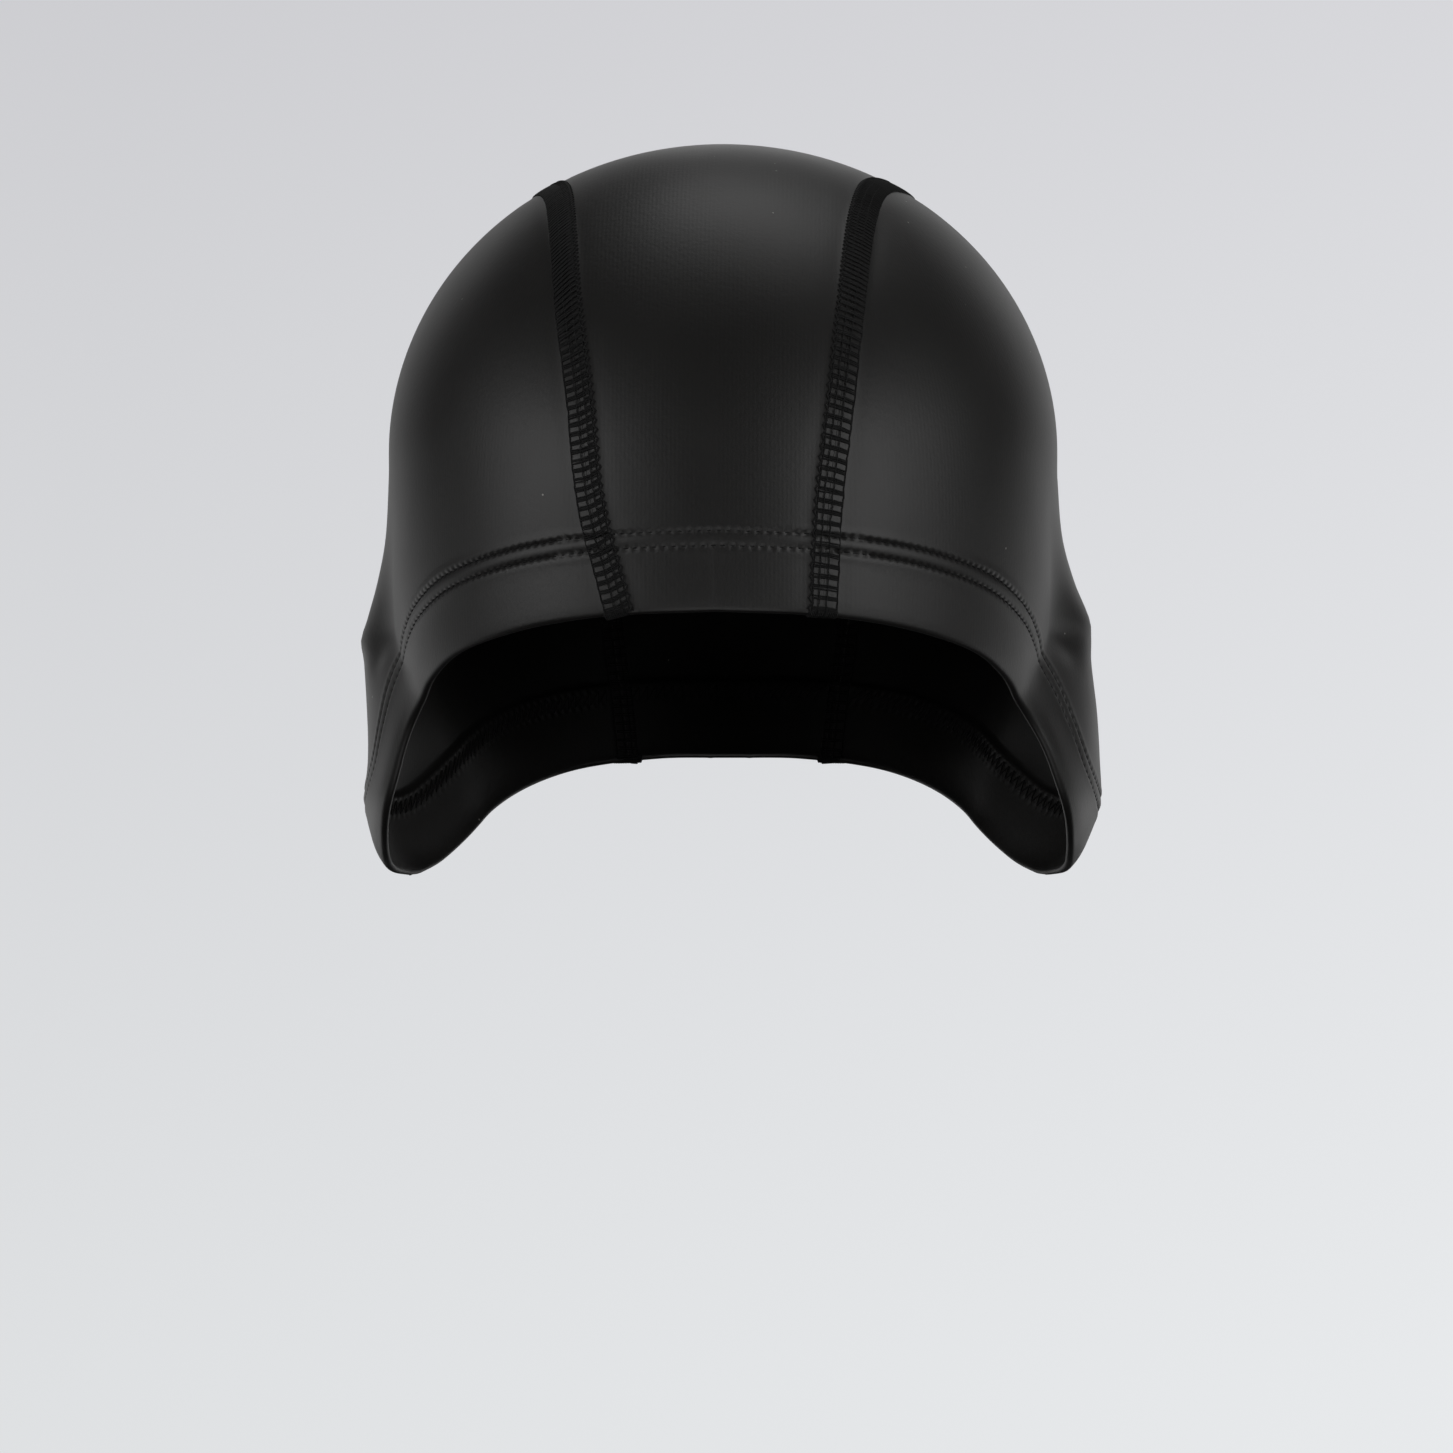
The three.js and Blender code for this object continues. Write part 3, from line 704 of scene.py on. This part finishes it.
def sew(name, parts):
    """Stitches of one kind of thread, at all the places given, as one plain mesh."""
    radius, arch, end, unevenness, seed = THREADS[name]
    middle, run, out, span = (np.concatenate(values) for values in zip(*parts))
    mesh = bpy.data.meshes.new(name)
    mesh.from_pydata((middle * MM).tolist(), [], [])
    for label, values in (("run", run), ("out", out)):
        data = mesh.attributes.new(label, "FLOAT_VECTOR", "POINT").data
        data.foreach_set("vector", values.ravel().astype(np.float32))
    data = mesh.attributes.new("span", "FLOAT", "POINT").data
    data.foreach_set("value", (span * MM).astype(np.float32))
    piece = bpy.data.objects.new(name, mesh)
    bpy.context.scene.collection.objects.link(piece)
    modifier = piece.modifiers.new("stitches", "NODES")
    modifier.node_group = STITCHES
    sockets = {item.name: item.identifier for item in STITCHES.interface.items_tree}
    for label, value in (
        ("Thread radius", radius * MM), ("Arch height", arch * MM),
        ("End height", end * MM), ("Unevenness", unevenness), ("Seed", seed),
        ("Thread", THREAD),
    ):
        modifier[sockets[label]] = value
    bpy.context.view_layer.update()
    shown = piece.evaluated_get(bpy.context.evaluated_depsgraph_get())
    piece.data = bpy.data.meshes.new_from_object(shown)
    piece.modifiers.clear()
    bpy.data.meshes.remove(mesh)
    for label in [a.name for a in piece.data.attributes if a.name in ("run", "out", "span")]:
        piece.data.attributes.remove(piece.data.attributes[label])
    return piece


def one_piece(name, parts):
    """Several sewn meshes as one."""
    bm = bmesh.new()
    for part in parts:
        bm.from_mesh(part.data)
        bpy.data.objects.remove(part)
    mesh = bpy.data.meshes.new(name)
    bm.to_mesh(mesh)
    bm.free()
    mesh.materials.append(THREAD)
    piece = bpy.data.objects.new(name, mesh)
    bpy.context.scene.collection.objects.link(piece)
    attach(piece, "root")
    return piece


def clear_of_seams(p, gap):
    """Which points lie farther than a gap from both seams."""
    return np.all([nearest_on(SEAM_LINES[side], p)[0] > gap for side in (LEFT, RIGHT)], axis=0)


row_parts = []
loops = []
for line in ROW_LINES:
    steps = np.linalg.norm(np.diff(line, axis=0), axis=-1)
    run = np.append(0, np.cumsum(steps))
    middles = np.arange(STITCH_PITCH / 2, run[-1], STITCH_PITCH)
    a, b, loop = (
        np.stack([np.interp(middles + off, run, line[:, k]) for k in range(3)], axis=-1)
        for off in (-STITCH_LENGTH / 2, STITCH_LENGTH / 2, 0)
    )
    clear = clear_of_seams((a + b) / 2, BAND / 2 - ROW_UNDER_SEAM)
    a, b = a[clear], b[clear]
    row_parts.append(between_holes(a, b, normal_at((a + b) / 2), STITCH_LIFT))
    loops.append(loop)
count = min(len(loop) for loop in loops)
lower, upper = (loop[:count] for loop in loops)
clear = clear_of_seams((lower[:-1] + upper[:-1]) / 2, BAND / 2 + LOOPER_CLEAR)
lower, upper = (
    p - normal_at(p) * (relief(p)[1] + LOOPER_LIFT)[:, None] for p in (lower, upper)
)
looper = []
for a, b in ((lower[:-1], upper[:-1]), (upper[:-1], lower[1:])):
    a, b = a[clear], b[clear]
    looper.append(between_holes(a, b, -normal_at((a + b) / 2), 0))
one_piece("hem_stitches", [sew("rows", row_parts), sew("looper", looper)])

# Flatlock seams: four needle threads hold the panels' edges side by side, and the cover
# threads cross between them: an open ladder where the cloth is stretched over the forehead
# and the nape, and a closed band over the crown. The edge on the centre panel is braided.

# Each needle line and each line that a cover strand touches: its distance from the seam's
# middle, out to the side panel, and its lift off the cloth, in millimetres.
NEEDLE_LINES = ((-2.45, 0.3), (-1.1, 0.46), (0.75, 0.48), (3.15, 0.24))
COVER_INNER, COVER_MIDDLE, COVER_OUTER = (-2.65, 0.22), (0.75, 0.34), (3.2, 0.16)
BRAID_EDGE, BRAID_INNER, BRAID_CROSS = (-3.35, 0.18), (-2.5, 0.28), 0.05

# On the left an odd strand shows between the rungs, on the centre panel
ODD_START, ODD_END, ODD_LEAN = (-1.1, 0.36), (-2.6, 0.3), 0.35

# The rungs' pitch, the strands in each and how far apart these lie, open and closed
OPEN_PITCH = {LEFT: 2.05, RIGHT: 2.3}
CLOSED_PITCH = 1.45
STRANDS, OPEN_SPREAD, CLOSED_SPREAD = 3, 0.36, 0.28
FIRST_RUNG, LAST_RUNG = 1.6, 2.6

# Where the ladder closes over the crown, from the forehead's end, and opens, from the nape's
FRONT_CLOSING, BACK_OPENING = (52, 86), (30, 60)

# How far a cover strand climbs along the seam for each millimetre across it, on the centre
# panel and on the side panel, where the seam is open and where it is closed
OPEN_SLOPES = {LEFT: (-0.2, 0.02), RIGHT: (-0.04, -0.14)}
CLOSED_SLOPES = {LEFT: (-0.65, -0.65), RIGHT: (-0.12, -0.2)}

# The needles' knots as shares of the first pitch, how much lower they lie where the seam is
# closed, and how far one stitch runs into the next; the braid's step and lean as shares of the
# pitch; and how unevenly the threads lie
KNOT_SHARE, CLOSED_SINK, NEEDLE_OVERLAP = 0.55, 0.22, 0.1
BRAID_STEP, BRAID_LEAN = 0.25, 0.32
RUNG_SWAY, END_SWAY, NEEDLE_SWAY = 0.05, 0.06, 0.07

# The threads round the hem's edge: how many, their pitch, how far out the first lies on the
# centre panel, how far from the seam's end all lie, and how much longer they are than the wall
WRAPS, WRAP_PITCH, WRAP_FIRST, WRAP_IN, WRAP_LOOSE = 16, 0.42, -3.1, 0.95, 0.5

# Inside the seam: the cover's half breadth, the gap between its two strands, the needle lines'
# share of their distance outside, and how far both lie off the cloth
UNDER_HALF, UNDER_GAP, UNDER_SHARE = 2.5, 0.5, 0.9
UNDER_COVER_LIFT, UNDER_NEEDLE_LIFT = 0.22, 0.36


def closed_share(side, run):
    """Nought where the ladder is open, one where the threads close up over the crown."""
    left = SEAM_RUNS[side][-1] - run
    return ease(*FRONT_CLOSING, run) * ease(*BACK_OPENING, left)


def rung_runs(side):
    """How far along the seam each rung lies."""
    runs = [FIRST_RUNG]
    while runs[-1] < SEAM_RUNS[side][-1] - LAST_RUNG:
        closed = float(closed_share(side, runs[-1]))
        runs.append(runs[-1] + OPEN_PITCH[side] + (CLOSED_PITCH - OPEN_PITCH[side]) * closed)
    return np.array(runs)


def on_seam(side, run, off, lift):
    """Points over the outer face beside a seam, and the face's normal there."""
    run, off, lift = np.broadcast_arrays(run, off, lift)
    way = np.interp(run, SEAM_RUNS[side], SEAM_WAYS)
    p, _, across = seam_frame(side, way)
    p = onto_face(p + across * off[..., None])
    out = normal_at(p)
    return p + out * lift[..., None], out


def under_seam(side, run, off, lift):
    """Points off the inner face beside a seam, and the outer face's normal there."""
    p, out = on_seam(side, run, off, 0)
    return p - out * (relief(p)[1] + lift)[:, None], out


def tack(side, first, last):
    """Places for stitches over a seam from one (run, off, lift) to another."""
    a, out = on_seam(side, *first)
    b, _ = on_seam(side, *last)
    return between_holes(a, b, out, 0)


def wraps(side, end):
    """Places for the threads that turn round the hem's edge at one end of a seam."""
    offs = WRAP_FIRST + WRAP_PITCH * np.arange(WRAPS)
    run = WRAP_IN if end < 0 else SEAM_RUNS[side][-1] - WRAP_IN
    middle, out = on_seam(side, run, offs, -HEM_CLOTH / 2)
    way = np.interp(np.full(len(offs), run), SEAM_RUNS[side], SEAM_WAYS)
    _, along, _ = seam_frame(side, way)
    return [middle, out, along * end, np.full(len(offs), HEM_CLOTH + WRAP_LOOSE)]


for side, name in ((LEFT, "left"), (RIGHT, "right")):
    random = np.random.default_rng(5 + side)
    runs = rung_runs(side)
    count = len(runs)
    pitch = np.append(np.diff(runs), runs[-1] - runs[-2])
    closed = closed_share(side, runs)
    slopes = [
        low + (high - low) * closed
        for low, high in zip(OPEN_SLOPES[side], CLOSED_SLOPES[side])
    ]
    inner_climb = (COVER_MIDDLE[0] - COVER_INNER[0]) * slopes[0]
    outer_climb = (COVER_OUTER[0] - COVER_MIDDLE[0]) * slopes[1]
    cover = []
    for strand in range(STRANDS):
        spread = OPEN_SPREAD + (CLOSED_SPREAD - OPEN_SPREAD) * closed
        run = runs + spread * (strand - (STRANDS - 1) / 2) + random.normal(0, RUNG_SWAY, count)
        inner_run = run - inner_climb + random.normal(0, END_SWAY, count)
        outer_run = run + outer_climb + random.normal(0, END_SWAY, count)
        middle = (run, *COVER_MIDDLE)
        cover.append(tack(side, (inner_run, *COVER_INNER), middle))
        cover.append(tack(side, middle, (outer_run, *COVER_OUTER)))
    if side == LEFT:
        start = runs + pitch / 2 + random.normal(0, RUNG_SWAY, count)
        cover.append(tack(side, (start, *ODD_START), (start + ODD_LEAN, *ODD_END)))
    needles = []
    for off, lift in NEEDLE_LINES:
        knots = np.append(runs, runs[-1] + pitch[-1]) - KNOT_SHARE * pitch[0]
        sway = off + random.normal(0, NEEDLE_SWAY, count + 1)
        rise = lift - CLOSED_SINK * closed
        needles.append(tack(
            side, (knots[:-1] - NEEDLE_OVERLAP, sway[:-1], rise),
            (knots[1:] + NEEDLE_OVERLAP, sway[1:], rise),
        ))
    braid = []
    for turn in (-1, 1):
        start = runs + turn * BRAID_STEP * pitch
        lean = turn * BRAID_LEAN * pitch
        off, lift = BRAID_INNER
        braid.append(tack(
            side, (start - lean, *BRAID_EDGE), (start + lean, off, lift + BRAID_CROSS * turn),
        ))
    outside_threads = one_piece(f"{name}_seam_threads", [
        sew("cover", cover), sew("needles", needles), sew("braid", braid),
        sew("wraps", [wraps(side, -1), wraps(side, 1)]),
    ])
    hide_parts(f"{name}_flatlock_seam")

    # The inside of the seam: flatter cover threads, two in each rung, and the four lines of
    # needle loops. It doesn't show in the photograph and is finished plainly.
    left, _ = under_seam(side, runs, -UNDER_HALF, UNDER_COVER_LIFT)
    right, out = under_seam(side, runs, UNDER_HALF, UNDER_COVER_LIFT)
    aside = UNDER_GAP * unit(np.gradient(left, axis=0))
    inner_cover = [between_holes(left + off, right + off, -out, 0) for off in (0, aside)]
    inner_needles = []
    for off, _ in NEEDLE_LINES:
        p, out = under_seam(side, runs, off * UNDER_SHARE, UNDER_NEEDLE_LIFT)
        inner_needles.append(between_holes(p[:-1], p[1:], -out[:-1], 0))
    inside_threads = one_piece(f"{name}_seam_inner_threads", [
        sew("inner_cover", inner_cover), sew("inner_needles", inner_needles),
    ])
    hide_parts(f"{name}_flatlock_seam")

# Studio: a pale seamless sweep all round that glows with painted light of its own, soft light from
# both sides, above, behind and below, and a long lens level with the middle of the cap. Metres from
# here on.
FLOOR_RADIUS, WALL_CURVE, WALL_TOP, FLOOR_LEVEL = 2.0, 1.2, 4.5, -0.45
SWEEP_SIDES, CURVE_STEPS = 96, 12
# The sweep's painted light: painted shade darkens it up to a height, and its painted glow grows a
# little towards the right
PAINTED_SHADE_TOP, GLOW_ACROSS, GLOW = 0.35, (-0.4, 0.4), (0.9, 1.0)
CAP_MIDDLE = np.array([0, 0, -0.08])
LIGHT_DISTANCE, LIGHT_SIZE = 2.1, 1.4


def sweep():
    """A round floor that curves up into a wall, glowing with painted light."""
    profile = [(0.6 * FLOOR_RADIUS, 0.0), (FLOOR_RADIUS, 0.0)]
    for k in range(1, CURVE_STEPS + 1):
        a = math.pi / 2 * k / CURVE_STEPS
        profile.append((
            FLOOR_RADIUS + WALL_CURVE * math.sin(a), WALL_CURVE * (1 - math.cos(a)),
        ))
    profile.append((FLOOR_RADIUS + WALL_CURVE, WALL_TOP))
    turns = [2 * math.pi * k / SWEEP_SIDES for k in range(SWEEP_SIDES)]
    points = [(r * math.cos(a), r * math.sin(a), h) for r, h in profile for a in turns]
    points.append((0.0, 0.0, 0.0))
    after = [(k + 1) % SWEEP_SIDES for k in range(SWEEP_SIDES)]
    faces = [(k, after[k], len(points) - 1) for k in range(SWEEP_SIDES)]
    for first in range(0, SWEEP_SIDES * (len(profile) - 1), SWEEP_SIDES):
        for k in range(SWEEP_SIDES):
            a, b = first + k, first + after[k]
            faces.append((b, a, a + SWEEP_SIDES, b + SWEEP_SIDES))
    mesh = bpy.data.meshes.new("sweep")
    mesh.from_pydata([(x, y, h + FLOOR_LEVEL) for x, y, h in points], [], faces)
    mesh.polygons.foreach_set("use_smooth", [True] * len(mesh.polygons))
    # Painted light: the sweep gives off its own light and the lamps don't light it. It is paler low
    # down, with painted shade darkening it towards its top, and a little brighter to the right
    material, tree = new_material("pale_sweep_painted_glow")
    place = add_node(tree, "ShaderNodeTexCoord").outputs["Object"]
    parts = add_node(tree, "ShaderNodeSeparateXYZ", {0: place})
    height = ranged(tree, parts.outputs["Z"], FLOOR_LEVEL, PAINTED_SHADE_TOP, 0.0, 1.0)
    glow = add_node(tree, "ShaderNodeEmission", {
        "Color": mixed(tree, height, colour("#e9ebed"), colour("#d6d6da")),
        "Strength": ranged(tree, parts.outputs["X"], *GLOW_ACROSS, *GLOW),
    })
    add_node(tree, "ShaderNodeOutputMaterial", {"Surface": glow.outputs[0]})
    mesh.materials.append(material)
    floor = bpy.data.objects.new("sweep", mesh)
    bpy.context.scene.collection.objects.link(floor)
    floor.visible_glossy = False
    floor.visible_diffuse = False


def softbox(name, bearing, rise, power):
    """A square softbox: degrees round from the forehead and above the middle, and watts."""
    around, up = math.radians(bearing), math.radians(rise)
    way = np.array([
        math.sin(around) * math.cos(up), -math.cos(around) * math.cos(up), math.sin(up),
    ])
    light = bpy.data.lights.new(name, "AREA")
    light.size, light.energy = LIGHT_SIZE, power
    lamp = bpy.data.objects.new(name, light)
    lamp.location = CAP_MIDDLE + LIGHT_DISTANCE * way
    lamp.rotation_euler = (math.pi / 2 - up, 0, around)
    lamp.visible_camera = False
    bpy.context.scene.collection.objects.link(lamp)


sweep()
for name, bearing, rise, power in (
    ("left_front", -45, 10, 9), ("left_side", -75, 10, 9),
    ("right_front", 45, 10, 13), ("right_side", 75, 10, 7),
    ("left_low", -135, -20, 5), ("right_low", 135, -20, 5),
    ("left_back", -165, 10, 4), ("right_back", 165, 10, 5),
    ("top", 165, 70, 8), ("hollow_fill", 0, -35, 9),
):
    softbox(name, bearing, rise, power)

bpy.context.scene.view_settings.view_transform = "Standard"
world = bpy.data.worlds.new("studio")
world.use_nodes = True
background = world.node_tree.nodes["Background"].inputs
background["Color"].default_value = colour("#5a5a5c")
background["Strength"].default_value = 0.12
bpy.context.scene.world = world

lens = bpy.data.cameras.new("camera")
lens.sensor_width, lens.lens = 36, 220.7
camera = bpy.data.objects.new("camera", lens)
turn = math.radians(1.0)
reach, aside, level = 2.0, 0.00067, -0.1294
camera.location = (
    reach * math.sin(turn) + aside * math.cos(turn),
    -reach * math.cos(turn) + aside * math.sin(turn),
    level,
)
camera.rotation_euler = (math.pi / 2, 0, turn)
bpy.context.scene.collection.objects.link(camera)
bpy.context.scene.camera = camera
